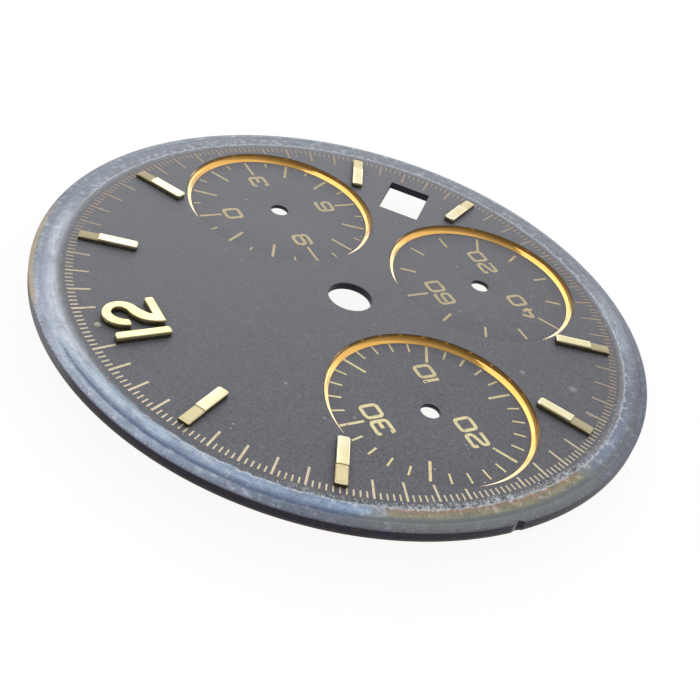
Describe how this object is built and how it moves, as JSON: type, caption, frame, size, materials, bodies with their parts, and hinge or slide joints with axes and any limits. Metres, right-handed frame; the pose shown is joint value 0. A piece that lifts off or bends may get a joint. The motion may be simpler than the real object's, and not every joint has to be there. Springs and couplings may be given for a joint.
{
  "type": "watch dial",
  "caption": "Round dark grey chronograph dial with recessed counters in gold rings, applied gold batons and numerals, a turned date window and a worn bare metal rim.",
  "frame": {"origin": "axis of the centre bore, on the plate's back face inside the rim's flange", "axes": "+Z out of the dial's face, +Y to 12 o'clock, +X to 3 o'clock"},
  "size_m": [0.031, 0.031, 0.0025],
  "materials": {
    "dial_lacquer": "matte anthracite lacquer on brass, worn off the rim",
    "counter_lacquer": "matte anthracite lacquer on brass",
    "gold_ring": "polished, gold plated",
    "gold_marks": "polished, pale gold plated",
    "luminous_paste": "aged luminous paste",
    "copper_feet": "drawn copper"
  },
  "bodies": {
    "root": {"dial_plate": "dial_lacquer", "counter_disc_3": "counter_lacquer", "counter_ring_3": "gold_ring", "counter_disc_6": "counter_lacquer", "counter_ring_6": "gold_ring", "counter_disc_9": "counter_lacquer", "counter_ring_9": "gold_ring", "hour_baton_1": "gold_marks", "lume_block_1": "luminous_paste", "hour_baton_2": "gold_marks", "lume_block_2": "luminous_paste", "hour_baton_4": "gold_marks", "lume_block_4": "luminous_paste", "hour_baton_5": "gold_marks", "lume_block_5": "luminous_paste", "hour_baton_7": "gold_marks", "lume_block_7": "luminous_paste", "hour_baton_8": "gold_marks", "lume_block_8": "luminous_paste", "hour_baton_10": "gold_marks", "lume_block_10": "luminous_paste", "hour_baton_11": "gold_marks", "lume_block_11": "luminous_paste", "numeral_one": "gold_marks", "numeral_two": "gold_marks", "lume_dot_12": "luminous_paste", "dial_foot_a": "copper_feet", "dial_foot_b": "copper_feet"}
  },
  "joints": []
}
